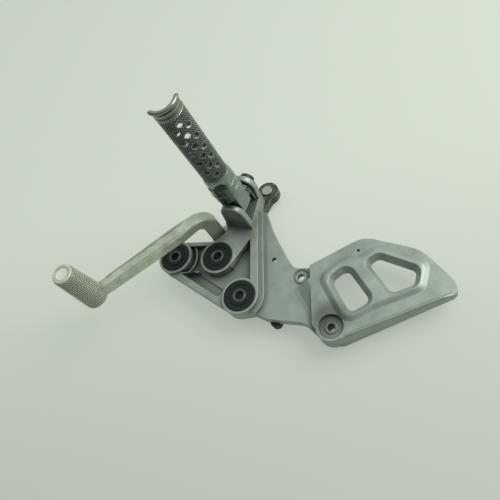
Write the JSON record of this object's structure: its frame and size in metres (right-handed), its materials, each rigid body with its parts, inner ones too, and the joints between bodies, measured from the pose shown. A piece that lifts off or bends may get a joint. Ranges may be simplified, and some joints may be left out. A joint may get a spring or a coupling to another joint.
{
  "type": "motorcycle footrest hanger",
  "caption": "Right-hand motorcycle footrest hanger: die-cast bracket with rubber mounting bushes and a windowed heel guard, a sprung folding footrest and a rear brake pedal.",
  "frame": {"origin": "axis of the middle rubber bush, in the plane where the three sleeves bear on the motorcycle's frame", "axes": "+Z outward, away from the motorcycle, along the bush bores and nearly along the footrest; +X towards the tip of the heel guard; +Y towards the footrest's clevis"},
  "size_m": [0.3293, 0.179, 0.1867],
  "materials": {
    "cast_aluminium": "satin die casting",
    "bush_rubber": "matt",
    "sleeve_steel": "dull zinc",
    "polished_aluminium": "bright turned",
    "knurled_aluminium": "fine knurl, dark",
    "forged_aluminium": "satin forging",
    "pin_steel": "dull, lightly tarnished",
    "spring_steel": "drawn wire",
    "bronze": "plain bearing bronze"
  },
  "bodies": {
    "hanger": {"hanger": "cast_aluminium", "front_bush_rubber": "bush_rubber", "middle_bush_rubber": "bush_rubber", "lower_bush_rubber": "bush_rubber", "front_bush_sleeve": "sleeve_steel", "middle_bush_sleeve": "sleeve_steel", "lower_bush_sleeve": "sleeve_steel", "footrest_hinge_pin": "pin_steel", "hinge_pin_washer": "pin_steel", "footrest_return_spring": "spring_steel", "pedal_pivot_bolt": "pin_steel", "pedal_pivot_washer": "pin_steel", "back_buffer": "bush_rubber"},
    "footrest": {"footrest_shank": "polished_aluminium", "footrest_tube": "knurled_aluminium", "footrest_end_lip": "polished_aluminium"},
    "pedal": {"brake_pedal": "forged_aluminium", "pedal_pivot_bush": "bronze", "pushrod_pin": "pin_steel", "pushrod_pin_washer": "pin_steel", "split_pin": "spring_steel"}
  },
  "joints": [
    {"name": "footrest_fold", "type": "hinge", "parent": "hanger", "child": "footrest", "pos_m": [0.02838, 0.04097, 0.038], "axis": [0.342, 0.9397, 0], "range_deg": [0, 85], "stiffness_Nm_per_rad": 0.4, "springref_deg": -45.84, "deforming": ["footrest_return_spring"]},
    {"name": "pedal_press", "type": "hinge", "parent": "hanger", "child": "pedal", "pos_m": [0.0285, 0.0425, 0], "axis": [0, 0, 1], "range_deg": [-12, 0]}
  ]
}
